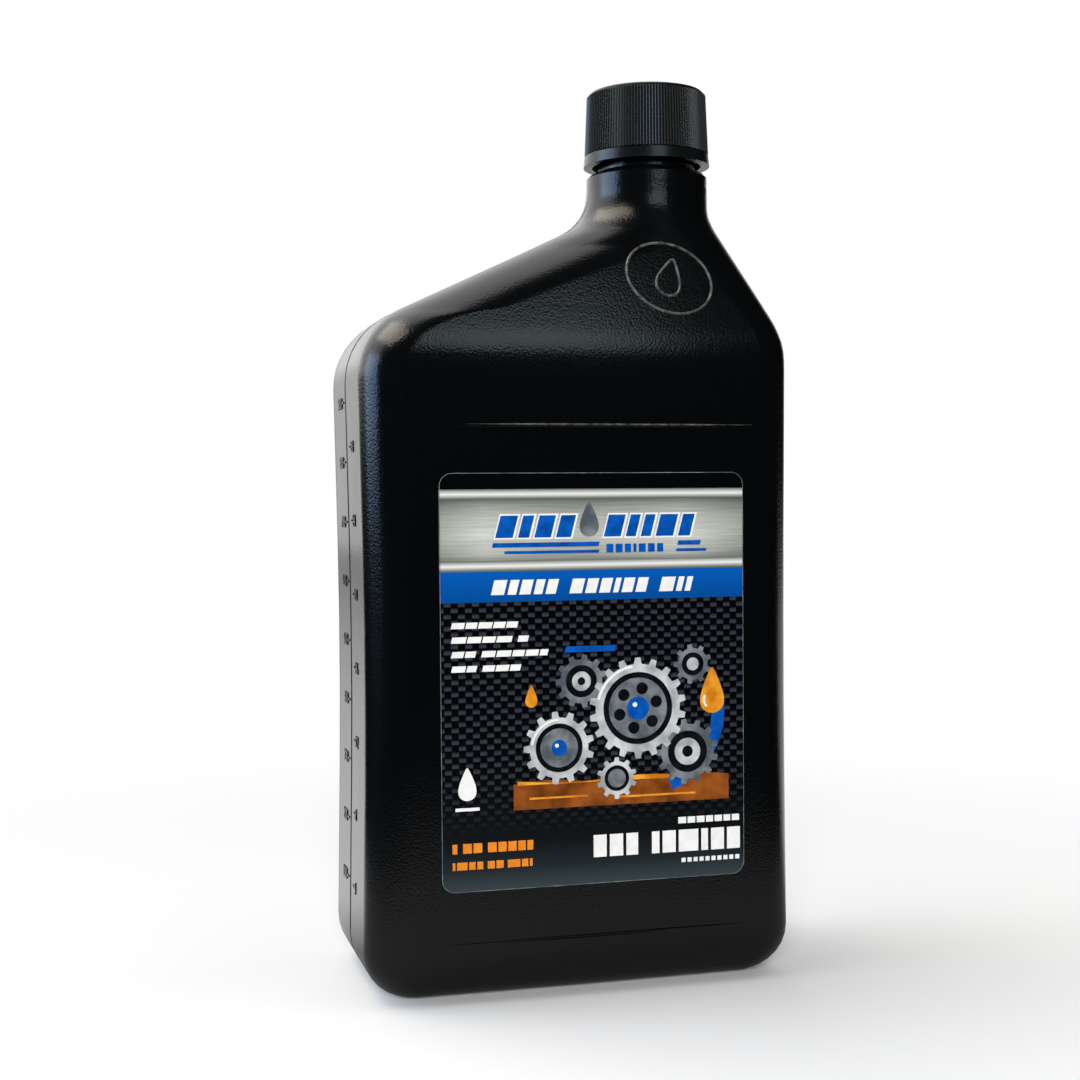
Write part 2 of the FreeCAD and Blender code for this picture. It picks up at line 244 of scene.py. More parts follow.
def painted_rib_highlight(tree, place):
    apart = add(tree, "ShaderNodeSeparateXYZ", {"Vector": place.outputs["Object"]})
    side = add(tree, "ShaderNodeMath", {0: apart.outputs["X"], 1: CAP_AXIS_X}, operation="SUBTRACT")
    angle = add(tree, "ShaderNodeMath", {0: apart.outputs["Y"], 1: side.outputs[0]}, operation="ARCTAN2")
    turns = add(tree, "ShaderNodeMath", {0: angle.outputs[0], 1: RIB_COUNT}, operation="MULTIPLY")
    ribs = add(tree, "ShaderNodeMath", {0: turns.outputs[0]}, operation="COSINE")
    crest = add(tree, "ShaderNodeMapRange",
                {"Value": ribs.outputs[0], "From Min": CREST_STARTS_AT, "From Max": -1.0})
    over = add(tree, "ShaderNodeMath", {0: apart.outputs["Z"], 1: cap_low[2]}, operation="GREATER_THAN")
    under = add(tree, "ShaderNodeMath", {0: apart.outputs["Z"], 1: cap_high[2] - RIB_TOP_MM * MM},
                operation="LESS_THAN")
    ribbed = add(tree, "ShaderNodeMath", {0: over.outputs[0], 1: under.outputs[0]}, operation="MULTIPLY")
    return add(tree, "ShaderNodeMath", {0: crest.outputs[0], 1: ribbed.outputs[0]}, operation="MULTIPLY")


# %% Cap material
SPECK_MM = 0.8
SPECK_DEPTH_MM = 0.02


def make_cap_plastic():
    material, tree = new_material("moulded_polypropylene")
    place = add(tree, "ShaderNodeTexCoord")
    crest_highlight = painted_rib_highlight(tree, place)
    # The paler colour on the rib crests is a painted highlight.
    shade = add(tree, "ShaderNodeMix", {"Factor": crest_highlight.outputs[0], "A": linear("#0d0e0f"),
                                        "B": linear("#2b2c2d")}, data_type="RGBA")
    specks = add(tree, "ShaderNodeTexNoise",
                 {"Vector": place.outputs["Object"], "Scale": 1.0 / (SPECK_MM * MM), "Detail": 3.0})
    rough = add(tree, "ShaderNodeMapRange",
                {"Value": specks.outputs["Fac"], "To Min": 0.20, "To Max": 0.32})
    bumped = add(tree, "ShaderNodeBump",
                 {"Height": specks.outputs["Fac"], "Strength": 0.5, "Distance": SPECK_DEPTH_MM * MM})
    surface = add(tree, "ShaderNodeBsdfPrincipled",
                  {"Base Color": shade.outputs["Result"], "Roughness": rough.outputs[0], "IOR": 1.50,
                   "Normal": bumped.outputs[0]})
    finish_material(tree, surface)
    return material


cap_plastic = make_cap_plastic()
print("cap axis at x = %.1f mm" % (CAP_AXIS_X / MM))

# %% [markdown]
# ## The sealing disc
#
# The disc under the cap's top is white foamed polyethylene. It scatters light and has tiny
# cells, so it is pale, rough and finely bumped.

# %% Liner material
FOAM_CELL_MM = 0.35
FOAM_DEPTH_MM = 0.05


def make_liner_foam():
    material, tree = new_material("foamed_polyethylene")
    place = add(tree, "ShaderNodeTexCoord")
    cells = add(tree, "ShaderNodeTexVoronoi",
                {"Vector": place.outputs["Object"], "Scale": 1.0 / (FOAM_CELL_MM * MM)})
    shade = add(tree, "ShaderNodeMix", {"Factor": cells.outputs["Distance"], "A": linear("#e9e8e2"),
                                        "B": linear("#d8d6cd")}, data_type="RGBA")
    bumped = add(tree, "ShaderNodeBump",
                 {"Height": cells.outputs["Distance"], "Strength": 0.6, "Distance": FOAM_DEPTH_MM * MM})
    surface = add(tree, "ShaderNodeBsdfPrincipled",
                  {"Base Color": shade.outputs["Result"], "Roughness": 0.75, "IOR": 1.50,
                   "Normal": bumped.outputs[0]})
    finish_material(tree, surface)
    return material


liner_foam = make_liner_foam()
print("liner cells in mm:", FOAM_CELL_MM)

# %% [markdown]
# ## Smooth shading on the moulded pieces
#
# The CAD pieces arrive as flat facets. A moulded skin has no facets, only a few true edges, so a
# small stack of modifiers shades them: points that lie together are welded, every face is shaded
# smooth unless it meets its neighbour at more than a set angle, and the large faces keep their
# say over the small ones at each corner. The meshes themselves stay as they came.

# %% Shading modifiers
EDGE_ANGLE = 28.0
WELD_MM = 0.002


def make_smoother():
    tree = bpy.data.node_groups.new("moulded_skin", "GeometryNodeTree")
    tree.interface.new_socket("Geometry", in_out="INPUT", socket_type="NodeSocketGeometry")
    tree.interface.new_socket("Geometry", in_out="OUTPUT", socket_type="NodeSocketGeometry")
    start = add(tree, "NodeGroupInput")
    bare = add(tree, "GeometryNodeRemoveAttribute", {"Geometry": start.outputs[0], "Name": "custom_normal"})
    welded = add(tree, "GeometryNodeMergeByDistance",
                 {"Geometry": bare.outputs[0], "Distance": WELD_MM * MM})
    smooth = add(tree, "GeometryNodeSetShadeSmooth", {0: welded.outputs[0]}, domain="FACE")
    angle = add(tree, "GeometryNodeInputMeshEdgeAngle")
    sharp = add(tree, "FunctionNodeCompare",
                {0: angle.outputs[0], 1: math.radians(EDGE_ANGLE)}, operation="GREATER_THAN")
    edged = add(tree, "GeometryNodeSetShadeSmooth",
                {0: smooth.outputs[0], "Selection": sharp.outputs[0]}, domain="EDGE")
    edged.inputs["Shade Smooth"].default_value = False
    add(tree, "NodeGroupOutput", {0: edged.outputs[0]})
    return tree


smoother = make_smoother()


def shade_smooth(piece):
    skin = piece.modifiers.new("moulded_skin", "NODES")
    skin.node_group = smoother
    weight = piece.modifiers.new("face_weight", "WEIGHTED_NORMAL")
    weight.keep_sharp = True


finishes = {"bottle": bottle_plastic, "cap": cap_plastic, "tamper_band": cap_plastic,
            "cap_liner": liner_foam}
for name, finish in finishes.items():
    piece = nodes[name]
    shade_smooth(piece)
    piece.data.materials.clear()
    piece.data.materials.append(finish)
print("smooth shading on", sorted(finishes))

# %% [markdown]
# ## Finding the bottle's skin
#
# The parting line, the scale and the raised mark on the shoulder all follow the bottle's
# surface. A tree of the bottle's triangles answers one question fast: where does a ray meet the
# skin, and which way does the skin face there?

# %% Skin finder
WELL_CLEAR = 0.2
bottle_tree = BVHTree.FromPolygons([v.co for v in nodes["bottle"].data.vertices],
                                   [p.vertices for p in nodes["bottle"].data.polygons])


def on_skin(start, direction):
    place, facing, _, _ = bottle_tree.ray_cast(Vector(start), Vector(direction))
    return place, facing


# %% [markdown]
# ## A raised line
#
# A line cut into a mould comes out as a low ridge on the bottle. One function makes such a ridge
# along any path on the skin: six points across, rounded over, with its two feet just under the
# surface so that no light shows below it. An open ridge runs out at both ends, as a cutter leaves
# the steel.

# %% Raised line
RIDGE_FOOT_MM = 0.06
RIDGE_RUN_OUT_STEPS = 14
RIDGE_SPAN = [(-0.5, None), (-0.32, 0.55), (-0.1, 0.96), (0.1, 0.96), (0.32, 0.55), (0.5, None)]


def ridge_mesh(path, width, height, closed):
    points = []
    faces = []
    count = len(path)
    for index, (place, facing) in enumerate(path):
        before = path[(index - 1) % count if closed else max(index - 1, 0)][0]
        after = path[(index + 1) % count if closed else min(index + 1, count - 1)][0]
        across = (after - before).cross(facing).normalized()
        to_end = count if closed else min(index, count - 1 - index) + 1
        size = min(1.0, to_end / RIDGE_RUN_OUT_STEPS)
        for share, lift in RIDGE_SPAN:
            rise = -RIDGE_FOOT_MM * MM if lift is None else lift * height * size
            points.append(place + across * share * width * size + facing * rise)
    span = len(RIDGE_SPAN)
    for index in range(count if closed else count - 1):
        following = (index + 1) % count
        for step in range(span - 1):
            faces.append((index * span + step, following * span + step,
                          following * span + step + 1, index * span + step + 1))
    return points, faces


def new_piece(name, points, faces, material, body, smooth=True):
    mesh = bpy.data.meshes.new(name)
    mesh.from_pydata([tuple(p) for p in points], [], faces)
    mesh.polygons.foreach_set("use_smooth", [smooth] * len(mesh.polygons))
    mesh.materials.append(material)
    mesh.update()
    piece = bpy.data.objects.new(name, mesh)
    bpy.context.scene.collection.objects.link(piece)
    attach(piece, body)


# %% [markdown]
# ## The parting line
#
# A blow mould closes in two halves, and a thin flash stays where they meet: up the narrow side,
# along the shoulder and up the neck. The path is found by rays in the bottle's middle plane.

# %% Parting line
SEAM_WIDTH_MM = 0.55
SEAM_HEIGHT_MM = 0.14
SEAM_LOW_MM = 3.0
SEAM_HIGH_MM = 206.0
SEAM_STEPS = 220


def seam_path(side):
    path = []
    for step in range(SEAM_STEPS + 1):
        height = (SEAM_LOW_MM + (SEAM_HIGH_MM - SEAM_LOW_MM) * step / SEAM_STEPS) * MM
        path.append(on_skin((side * WELL_CLEAR, 0.0, height), (-side, 0.0, 0.0)))
    return path


for name, side in (("parting_line_left", -1), ("parting_line_right", 1)):
    points, faces = ridge_mesh(seam_path(side), SEAM_WIDTH_MM * MM, SEAM_HEIGHT_MM * MM, False)
    new_piece(name, points, faces, bottle_plastic, "bottle")
    print(name, "has", len(points), "points")

# %% [markdown]
# ## The raised mark on the shoulder
#
# The front shoulder carries a raised oval. Here it frames a plain drop, the common sign for oil.
# Both are closed paths on a sloping plane, dropped on to the skin by rays from the front. Their
# ridges are paler than the skin, with a mottle: a painted highlight along the crest.

# %% Ridge material with a painted highlight
HIGHLIGHT_MOTTLE_MM = 1.5


def make_highlit_ridge_hdpe():
    material, tree = new_material("highlit_ridge_hdpe")
    place = add(tree, "ShaderNodeTexCoord")
    highlight_mottle = add(tree, "ShaderNodeTexNoise",
                 {"Vector": place.outputs["Object"], "Scale": 1.0 / (HIGHLIGHT_MOTTLE_MM * MM), "Detail": 2.0})
    # The paler colour is a painted highlight on the ridge crests, mottled by the noise.
    shade = add(tree, "ShaderNodeValToRGB", {"Fac": highlight_mottle.outputs["Fac"]},
                stops=[(0.3, "#242525"), (0.7, "#61625f")])
    surface = add(tree, "ShaderNodeBsdfPrincipled",
                  {"Base Color": shade.outputs[0], "Roughness": 0.22, "IOR": 1.54})
    finish_material(tree, surface)
    return material


highlit_ridge_hdpe = make_highlit_ridge_hdpe()
print("scuffs in mm:", HIGHLIGHT_MOTTLE_MM)

# %% [markdown]
# A drop is a circle whose top is drawn up to a point. The pull is strong only near the top, where
# it also pinches the sides. The same outline serves the mark here and the drops on the label.

# %% Drop outline
DROP_POINT = 3
DROP_PINCH = 0.55


def drop(u, v, radius, tip, steps=48):
    points = []
    for i in range(steps):
        turn = 2 * math.pi * i / steps
        pull = (0.5 + 0.5 * math.cos(turn)) ** DROP_POINT
        points.append((u - radius * math.sin(turn) * (1 - DROP_PINCH * pull),
                       v + radius * math.cos(turn) + (tip - radius) * pull))
    return points


# %% Shoulder mark
MARK_CENTRE_MM = (23.5, 178.6)
MARK_HALF_MM = (11.3, 9.0)
MARK_TILT = math.radians(-18)
MARK_LINE_MM = 0.75
MARK_RISE_MM = 0.45
MARK_DROP_MM = {"radius": 3.3, "tip": 6.6, "lower": 1.4}
OVAL_STEPS = 96
MARK_DROP_STEPS = 64


def mark_path(outline):
    path = []
    for across, along in outline:
        x = MARK_CENTRE_MM[0] + across * math.cos(MARK_TILT) - along * math.sin(MARK_TILT)
        z = MARK_CENTRE_MM[1] + across * math.sin(MARK_TILT) + along * math.cos(MARK_TILT)
        path.append(on_skin((x * MM, -WELL_CLEAR, z * MM), (0.0, 1.0, 0.0)))
    return path


oval_turns = [2 * math.pi * i / OVAL_STEPS for i in range(OVAL_STEPS)]
mark_oval = [(MARK_HALF_MM[0] * math.cos(t), MARK_HALF_MM[1] * math.sin(t)) for t in oval_turns]
mark_drop = drop(0.0, -MARK_DROP_MM["lower"], MARK_DROP_MM["radius"], MARK_DROP_MM["tip"], MARK_DROP_STEPS)
for name, outline in (("shoulder_oval", mark_oval), ("shoulder_drop", mark_drop[::-1])):
    points, faces = ridge_mesh(mark_path(outline), MARK_LINE_MM * MM, MARK_RISE_MM * MM, True)
    new_piece(name, points, faces, highlit_ridge_hdpe, "bottle")
    print(name, "has", len(points), "points")

# %% [markdown]
# ## The crisp edges over and under the label panel
#
# The panel is sunk by a fraction of a millimetre, and its upper and lower edges are the sharpest
# on the body. They could be fillets in the solid, but lines this thin are easier to make as small
# raised beads, which the mould leaves along the edge. The upper one stands in the light and is
# given the paler ridge colour, a painted highlight. The lower one keeps the bottle's black.

# %% Panel edges
PANEL_EDGE_MM = {"left": -31.0, "right": 43.0, "wide": 0.5, "rise": 0.24}
# The upper bead takes the paler ridge material, a painted highlight.
PANEL_EDGES = {"upper": (141.4, highlit_ridge_hdpe), "lower": (15.3, bottle_plastic)}
PANEL_EDGE_STEPS = 60


def panel_edge_path(side, height):
    path = []
    for step in range(PANEL_EDGE_STEPS + 1):
        share = step / PANEL_EDGE_STEPS
        x = PANEL_EDGE_MM["left"] + (PANEL_EDGE_MM["right"] - PANEL_EDGE_MM["left"]) * share
        path.append(on_skin((x * MM, side * WELL_CLEAR, height * MM), (0.0, -side, 0.0)))
    return path


for face_name, side in (("front", -1), ("back", 1)):
    for level_name, (height, finish) in PANEL_EDGES.items():
        name = "panel_edge_%s_%s" % (face_name, level_name)
        points, faces = ridge_mesh(panel_edge_path(side, height), PANEL_EDGE_MM["wide"] * MM,
                                   PANEL_EDGE_MM["rise"] * MM, False)
        new_piece(name, points, faces, finish, "bottle")
        print(name, "at", height, "mm")

# %% [markdown]
# ## The scale on the side
#
# The left side has two columns of plain raised numbers, one on each half of the mould, with a
# short dash at each that points to the parting line. Text objects give the digits. Their meshes
# are laid on the skin point by point, so they follow the side's slight waist.

# %% Side scale
DIGIT_HEIGHT_MM = 3.0
DIGIT_RISE_MM = 0.22
DASH_MM = (1.7, 0.5)
DIGIT_SHARE_OF_SIZE = 0.7
DIGIT_CURVE_STEPS = 3
BACK_SCALE = {"low": 26.4, "step": 15.2, "dash": 3.6, "text": 5.4, "side": 1,
              "marks": [str(100 * i) for i in range(1, 10)]}
FRONT_SCALE = {"low": 25.6, "step": 18.5, "dash": -4.6, "text": -6.6, "side": -1,
               "marks": [str(4 * i) for i in range(1, 8)]}


def lay_on_side(points, faces, flat_points, flat_faces, along, up):
    base = len(points)
    for u, v, w in flat_points:
        place, _ = on_skin((-WELL_CLEAR, (along - u) * MM, (up + v) * MM), (1.0, 0.0, 0.0))
        points.append(place + Vector((-1.0, 0.0, 0.0)) * w * MM)
    faces.extend([tuple(base + i for i in face) for face in flat_faces])


def digit_mesh(text):
    curve = bpy.data.curves.new("digits", "FONT")
    curve.body = text
    curve.size = DIGIT_HEIGHT_MM / DIGIT_SHARE_OF_SIZE
    curve.extrude = 0.5
    curve.resolution_u = DIGIT_CURVE_STEPS
    holder = bpy.data.objects.new("digits", curve)
    mesh = bpy.data.meshes.new_from_object(holder)
    points = [(v.co.x, v.co.y, DIGIT_RISE_MM if v.co.z > 0 else -RIDGE_FOOT_MM) for v in mesh.vertices]
    faces = [tuple(p.vertices) for p in mesh.polygons]
    bpy.data.objects.remove(holder)
    bpy.data.curves.remove(curve)
    bpy.data.meshes.remove(mesh)
    return points, faces


def dash_mesh():
    half = DASH_MM[0] / 2
    thick = DASH_MM[1] / 2
    corners = [(-half, -thick), (half, -thick), (half, thick), (-half, thick)]
    points = [(u, v, -RIDGE_FOOT_MM) for u, v in corners] + [(u, v, DIGIT_RISE_MM) for u, v in corners]
    faces = [(4, 5, 6, 7)] + [(i, (i + 1) % 4, (i + 1) % 4 + 4, i + 4) for i in range(4)]
    return points, faces


scale_points = []
scale_faces = []
for scale in (BACK_SCALE, FRONT_SCALE):
    for index, mark in enumerate(scale["marks"]):
        height = scale["low"] + scale["step"] * index
        digits, digit_faces = digit_mesh(mark)
        width = max(p[0] for p in digits)
        shift = scale["text"] + width if scale["side"] > 0 else scale["text"]
        lay_on_side(scale_points, scale_faces, digits, digit_faces, shift, height - DIGIT_HEIGHT_MM / 2)
        dash, dash_faces = dash_mesh()
        lay_on_side(scale_points, scale_faces, dash, dash_faces, scale["dash"], height)
new_piece("side_scale", scale_points, scale_faces, bottle_plastic, "bottle", smooth=False)
print("side scale has", len(scale_faces), "faces")

# %% [markdown]
# ## The label's ground
#
# The label is one varnished film. Its ground is a stack of level bands: black, a brushed silver
# band between two bright rails, a blue band, a dark woven field and a slate foot. Heights are
# shares of the label's own height, so the material reads that share once, and every band is a
# colour ramp or a pattern that starts where the one below ends. The lowest two come first. The
# weave is a checker of light and dark tows, and each row of them is shaded as a rounded thread.

# %% The slate foot and the woven field
label_low, label_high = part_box("front_label")
WEAVE_MM = (1.75, 1.45)
FIELD_FADE = (0.13, 0.30)
FOOT_SHADES = [(0.0, "#2e393d"), (0.05, "#161f23"), (0.11, "#060b0e"), (0.2, "#030507")]
SHEEN_SHADES = [(0.0, "#404040"), (0.35, "#ffffff"), (0.75, "#b0b0b0"), (1.0, "#383838")]


def woven_field(tree, place, height):
    foot = add(tree, "ShaderNodeValToRGB", {"Fac": height}, stops=FOOT_SHADES)
    grid = add(tree, "ShaderNodeMapping", {"Vector": place.outputs["Object"],
                                           "Scale": (1 / (WEAVE_MM[0] * MM), 0, 1 / (WEAVE_MM[1] * MM))})
    tows = add(tree, "ShaderNodeTexChecker", {"Vector": grid.outputs[0], "Scale": 1.0,
                                              "Color1": linear("#050608"), "Color2": linear("#343740")})
    cell = add(tree, "ShaderNodeSeparateXYZ", {"Vector": grid.outputs[0]})
    within = add(tree, "ShaderNodeMath", {0: cell.outputs["Z"]}, operation="FRACT")
    sheen = add(tree, "ShaderNodeValToRGB", {"Fac": within.outputs[0]}, stops=SHEEN_SHADES)
    weave = add(tree, "ShaderNodeMix", {"Factor": 1.0, "A": tows.outputs["Color"], "B": sheen.outputs[0]},
                data_type="RGBA", blend_type="MULTIPLY")
    rise = add(tree, "ShaderNodeMapRange",
               {"Value": height, "From Min": FIELD_FADE[0], "From Max": FIELD_FADE[1]})
    return add(tree, "ShaderNodeMix", {"Factor": rise.outputs[0], "A": foot.outputs[0],
                                       "B": weave.outputs["Result"]}, data_type="RGBA")


# %% [markdown]
# The silver band is three layers multiplied together: a soft shading from bottom to top, as if the
# band were rounded, another from left to right, and the fine level scratches of a brush.

# %% The brushed silver band
BRUSH_MM = (17.0, 0.4)
SILVER_FROM = 0.790
UPPER_RAIL_FROM = 0.936
LEVEL_SHADES = [(SILVER_FROM, "#8f928d"), (0.805, "#bcbeb9"), (0.850, "#dcded8"), (0.895, "#c6c8c2"),
                (0.925, "#999c97"), (UPPER_RAIL_FROM, "#70746f")]
ACROSS_SHADES = [(0.0, "#c4c6c1"), (0.14, "#ecede9"), (0.45, "#d6d7d3"), (0.78, "#f2f3ef"), (1.0, "#bdbfba")]


def brushed_silver(tree, place, across, height):
    streaks = add(tree, "ShaderNodeMapping", {"Vector": place.outputs["Object"],
                                              "Scale": (1 / (BRUSH_MM[0] * MM), 1, 1 / (BRUSH_MM[1] * MM))})
    brushed = add(tree, "ShaderNodeTexNoise", {"Vector": streaks.outputs[0], "Scale": 1.0, "Detail": 3.0})
    grit = add(tree, "ShaderNodeValToRGB", {"Fac": brushed.outputs["Fac"]},
               stops=[(0.3, "#dcdcdc"), (0.7, "#ffffff")])
    level = add(tree, "ShaderNodeValToRGB", {"Fac": height}, stops=LEVEL_SHADES)
    edge = add(tree, "ShaderNodeValToRGB", {"Fac": across}, stops=ACROSS_SHADES)
    silver = level.outputs[0]
    for layer in (edge, grit):
        mixed = add(tree, "ShaderNodeMix", {"Factor": 1.0, "A": silver, "B": layer.outputs[0]},
                    data_type="RGBA", blend_type="MULTIPLY")
        silver = mixed.outputs["Result"]
    return silver


# %% [markdown]
# The whole ground is laid from the foot up: each band covers all that is above its lower edge, and
# the next one covers the rest.

# %% Label ground
BLUE_FROM = 0.691
RAIL_FROM = 0.764
BLACK_FROM = 0.961
RAIL_SHADES = ["#3f4340", "#8d908b", "#dededa", "#a8aaa5", "#4f534f"]
BLUE_SHADES = [(BLUE_FROM, "#044489"), (RAIL_FROM, "#0652a6")]


def make_label_print():
    material, tree = new_material("printed_polypropylene_film")
    place = add(tree, "ShaderNodeTexCoord")
    apart = add(tree, "ShaderNodeSeparateXYZ", {"Vector": place.outputs["Object"]})
    across, height = [
        add(tree, "ShaderNodeMapRange", {"Value": apart.outputs[axis], "From Min": label_low[axis],
                                         "From Max": label_high[axis]}).outputs[0] for axis in (0, 2)]
    blue = add(tree, "ShaderNodeValToRGB", {"Fac": height}, stops=BLUE_SHADES)
    silver = brushed_silver(tree, place, across, height)
    rails = []
    for low, high in ((RAIL_FROM, SILVER_FROM), (UPPER_RAIL_FROM, BLACK_FROM)):
        step = (high - low) / (len(RAIL_SHADES) - 1)
        rails.append(add(tree, "ShaderNodeValToRGB", {"Fac": height},
                         stops=[(low + step * index, shade) for index, shade in enumerate(RAIL_SHADES)]))
    bands = [(BLUE_FROM, blue.outputs[0]), (RAIL_FROM, rails[0].outputs[0]),
             (SILVER_FROM, silver), (UPPER_RAIL_FROM, rails[1].outputs[0]), (BLACK_FROM, linear("#040506"))]
    ground = woven_field(tree, place, height).outputs["Result"]
    for low, band in bands:
        above = add(tree, "ShaderNodeMath", {0: height, 1: low}, operation="GREATER_THAN")
        laid = add(tree, "ShaderNodeMix", {"Factor": above.outputs[0], "A": ground, "B": band},
                   data_type="RGBA")
        ground = laid.outputs["Result"]
    surface = add(tree, "ShaderNodeBsdfPrincipled", {"Base Color": ground, "Roughness": 0.24, "IOR": 1.49})
    finish_material(tree, surface)
    return material


label_print = make_label_print()
nodes["front_label"].data.materials.clear()
nodes["front_label"].data.materials.append(label_print)
FILM_WIDE_MM = (label_high[0] - label_low[0]) / MM
FILM_TALL_MM = (label_high[2] - label_low[2]) / MM
print("label in mm: %.1f by %.1f" % (FILM_WIDE_MM, FILM_TALL_MM))

# %% [markdown]
# ## The label's print
#
# A printer lays flat inks over the ground, plate by plate. So each plate here is one thin sheet
# of shapes just in front of the film, drawn in millimetres from the label's lower left corner.
# Where a maker would set words there are plain bars, in lines of like length and weight. The
# picture is a train of gear wheels over a pool of oil.

# %% Bars
def bar(u, v, wide, tall, slant=0.0):
    return [(u, v), (u + wide, v), (u + wide + slant * tall, v + tall), (u + slant * tall, v + tall)]


def line_of_bars(u, v, widths, tall, gap, slant=0.0):
    shapes = []
    for wide in widths:
        if wide > 0:
            shapes.append(bar(u, v, wide, tall, slant))
        u += abs(wide) + gap
    return shapes


# %% [markdown]
# The other shapes are outlines too. A tooth of a gear wheel is five points: up one flank, over the
# tip and down the other. A wave is a pool with a swell on top, and a sweep is a piece of a ring.

# %% Round shapes
GEAR_TOOTH = ((0.0, False), (0.24, False), (0.34, True), (0.66, True), (0.76, False))


def disc(u, v, radius, steps=44):
    turns = [2 * math.pi * i / steps for i in range(steps)]
    return [(u + radius * math.cos(t), v + radius * math.sin(t)) for t in turns]


def gear(u, v, radius, teeth, depth):
    points = []
    for tooth in range(teeth):
        for share, at_tip in GEAR_TOOTH:
            reach = radius if at_tip else radius - depth
            turn = 2 * math.pi * (tooth + share) / teeth
            points.append((u + reach * math.cos(turn), v + reach * math.sin(turn)))
    return points


def wave(left, right, low, high, swell, count, steps=60):
    top = []
    for i in range(steps + 1):
        share = i / steps
        lift = swell * math.sin(2 * math.pi * count * share)
        top.append((right + (left - right) * share, high + lift))
    return [(left, low), (right, low)] + top


def sweep(points_across, low_turn, high_turn, centre, steps=36):
    inner, outer = points_across
    turns = [low_turn + (high_turn - low_turn) * i / steps for i in range(steps + 1)]
    rim = [(centre[0] + outer * math.cos(t), centre[1] + outer * math.sin(t)) for t in turns]
    bore = [(centre[0] + inner * math.cos(t), centre[1] + inner * math.sin(t)) for t in reversed(turns)]
    return rim + bore


# %% [markdown]
# ## The inks
#
# Process inks over a silvered film are a little glossy and fairly even. One function makes each
# ink: a base colour with a trace of mottle, at the finish of the varnish that covers them all.

# %% Inks
MOTTLE_MM = 2.5


def make_ink(name, thin, full, spread=MOTTLE_MM):
    material, tree = new_material(name)
    place = add(tree, "ShaderNodeTexCoord")
    cloud = add(tree, "ShaderNodeTexNoise",
                {"Vector": place.outputs["Object"], "Scale": 1.0 / (spread * MM), "Detail": 2.0})
    colour = add(tree, "ShaderNodeValToRGB", {"Fac": cloud.outputs["Fac"]},
                 stops=[(0.35, thin), (0.65, full)])
    surface = add(tree, "ShaderNodeBsdfPrincipled",
                  {"Base Color": colour.outputs[0], "Roughness": 0.26, "IOR": 1.49})
    finish_material(tree, surface)
    return material


INKS = {
    "white": make_ink("opaque_white_ink", "#dcdcda", "#e6e6e4"),
    "orange": make_ink("orange_ink", "#d0761c", "#de8526"),
    "blue": make_ink("blue_ink", "#05428c", "#0a55ae"),
    "pale": make_ink("silver_ink", "#8d9294", "#c3c7c7", 5.0),
    "steel": make_ink("grey_ink", "#4a5056", "#777d82", 4.0),
    "black": make_ink("black_ink", "#060709", "#121418"),
    "amber": make_ink("amber_ink", "#b8690f", "#e39a2c", 4.0),
    "brown": make_ink("brown_ink", "#5e2f0d", "#8f4d1c", 6.0),
}
print("inks:", sorted(INKS))

# %% [markdown]
# ## The plates, from the back forward
#
# Each entry is one sheet of one ink, and the order is the order of printing. First comes the
# picture: three far wheels and three near ones over a pool that catches light, and two drops that
# fall past them.

# %% Plates of the picture
BIG_WHEEL = (50.0, 43.0)
LEFT_WHEEL = (29.6, 34.0)
LOW_WHEEL = (44.4, 25.8)
RIGHT_WHEEL = (63.0, 31.6)
FAR_LEFT_WHEEL = (35.4, 50.2)
FAR_RIGHT_WHEEL = (64.5, 53.5)
FALLING_DROP = (69.6, 44.4)
HOLE_TURNS = (0.3, 1.35, 2.4, 3.44, 4.49, 5.54)
HOLE_REACH_MM = 5.0

